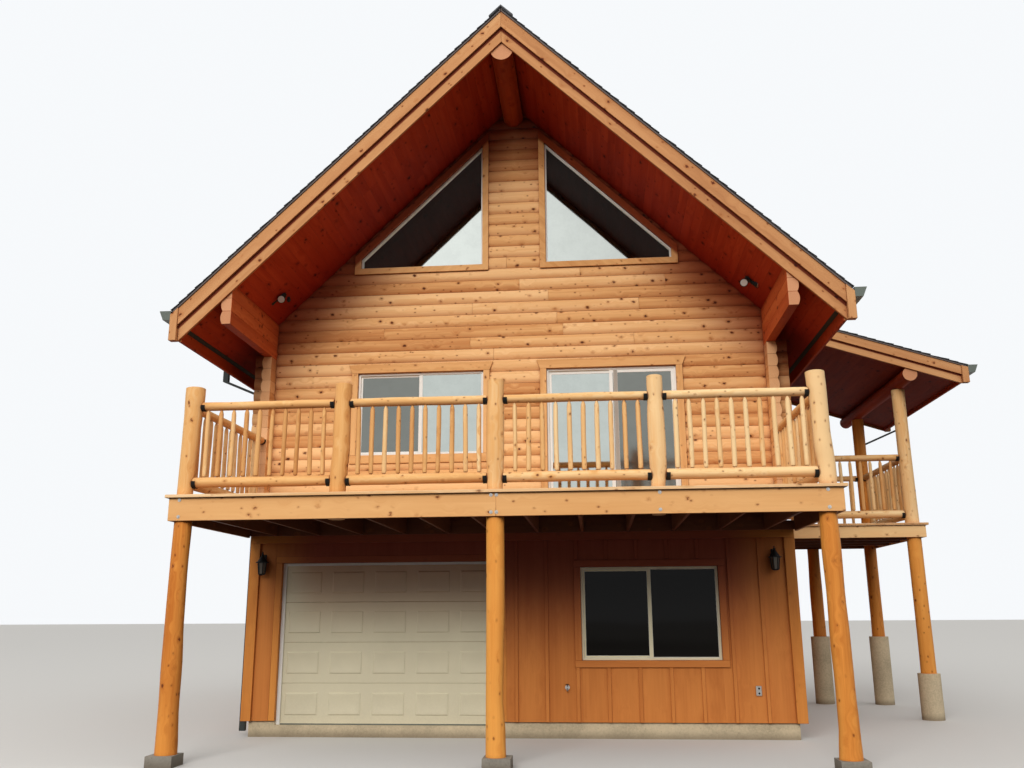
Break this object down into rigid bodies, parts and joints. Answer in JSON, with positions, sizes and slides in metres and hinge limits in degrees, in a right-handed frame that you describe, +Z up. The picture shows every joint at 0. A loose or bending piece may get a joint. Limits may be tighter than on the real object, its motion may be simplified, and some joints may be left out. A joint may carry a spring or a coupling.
{
  "type": "log house",
  "caption": "Log house over a framed garage storey, with a steep gable roof, a log deck across the front and a covered side porch.",
  "frame": {"origin": "middle of the footprint of the whole house with its deck, porch and gutters, at the ground under the foundation and piers", "axes": "+Z up, +Y from the front gable to the rear gable along the ridge, +X to the right as seen from the front, towards the side porch"},
  "size_m": [11.5158, 14.229, 9.6215],
  "materials": {
    "concrete": "rough cast concrete",
    "siding": "stained plywood",
    "trim": "stained boards",
    "log": "oiled knotty logs",
    "post": "peeled round logs",
    "roof_boards": "dark stained boards",
    "barge": "stained boards",
    "shingle": "asphalt shingles",
    "gutter": "satin paint",
    "door_panel": "satin paint",
    "white_frame": "white vinyl",
    "glass": "clear",
    "deck": "weathered boards",
    "black_metal": "matt black"
  },
  "bodies": {
    "root": {"foundation_walls": "concrete", "garage_floor": "concrete", "post_blocks": "concrete", "porch_piers": "concrete", "lower_front_wall": "siding", "lower_rear_wall": "siding", "lower_side_walls": "siding", "lower_trim": "trim", "garage_door_frame": "trim", "window_trim": "trim", "garage_door": "door_panel", "main_floor": "trim", "front_log_wall": "log", "rear_log_wall": "log", "left_log_wall": "log", "right_log_wall": "log", "ridge_log": "log", "porch_beam": "log", "window_and_door_frames": "white_frame", "window_glass": "glass", "roof_left": "roof_boards", "roof_right": "roof_boards", "porch_roof": "roof_boards", "shingles_left": "shingle", "shingles_right": "shingle", "ridge_cap": "shingle", "porch_shingles": "shingle", "front_barge_boards": "barge", "rear_barge_boards": "barge", "porch_barge_boards": "barge", "eave_fascias": "barge", "gutters": "gutter", "downspouts": "gutter", "deck_boards": "deck", "deck_frame": "deck", "porch_deck_boards": "deck", "porch_frame": "deck", "deck_posts": "post", "rail_posts": "post", "porch_posts": "post", "deck_front_railing": "post", "deck_side_railings": "post", "porch_railings": "post", "wall_lights": "black_metal"}
  },
  "joints": []
}
